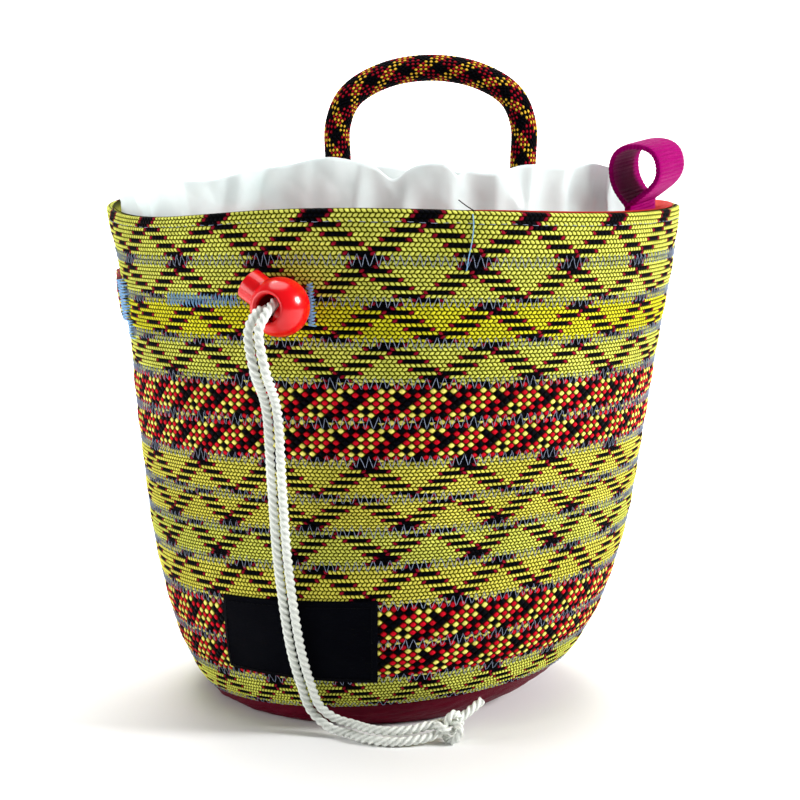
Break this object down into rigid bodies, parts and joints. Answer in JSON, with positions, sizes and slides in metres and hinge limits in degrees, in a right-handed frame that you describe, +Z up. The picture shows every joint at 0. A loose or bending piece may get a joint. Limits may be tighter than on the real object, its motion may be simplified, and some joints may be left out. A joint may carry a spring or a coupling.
{
  "type": "chalk bag",
  "caption": "Standing bucket-shaped chalk bag sewn from flattened rope bands, with a drawstring collar, rope carry handle, hang loop, brush loop and ball cord lock.",
  "frame": {"origin": "on the underside of the base panel, below the centre of the rim, at the height of the surface the bag stands on", "axes": "+Z up, -Y towards the front with the cord lock and the label, +X towards the side with the hang loop"},
  "size_m": [0.2448, 0.2706, 0.2799],
  "materials": {
    "rope_yellow": "braided, matte",
    "rope_speckled": "braided, matte",
    "base_fabric": "woven, satin",
    "lining_fabric": "woven, matte",
    "collar_fabric": "thin, smooth, slightly see-through",
    "webbing": "woven, satin",
    "label_fabric": "woven, matte",
    "cord_white": "twisted, satin",
    "lock_plastic": "gloss"
  },
  "bodies": {
    "bag": {"rope_band_01": "rope_yellow", "rope_band_02": "rope_yellow", "rope_band_03": "rope_yellow", "rope_band_04": "rope_yellow", "rope_band_05": "rope_speckled", "rope_band_06": "rope_speckled", "rope_band_07": "rope_yellow", "rope_band_08": "rope_yellow", "rope_band_09": "rope_yellow", "rope_band_10": "rope_yellow", "rope_band_11": "rope_speckled", "rope_band_12": "rope_speckled", "rope_band_13": "rope_yellow", "base_panel": "base_fabric", "lining": "lining_fabric", "drawstring_collar": "collar_fabric", "carry_handle": "rope_speckled", "hang_loop": "webbing", "brush_loop": "rope_speckled", "label_patch": "label_fabric", "lock_body": "lock_plastic", "drawcord_left": "cord_white", "drawcord_right": "cord_white", "drawcord_knot": "cord_white", "drawcord_tail": "cord_white"},
    "plunger": {"lock_plunger": "lock_plastic"}
  },
  "joints": [
    {"name": "lock_press", "type": "slide", "parent": "bag", "child": "plunger", "axis": [0.7488, -0.3981, -0.5299], "range_m": [0, 0.003], "stiffness_N_per_m": 400}
  ]
}
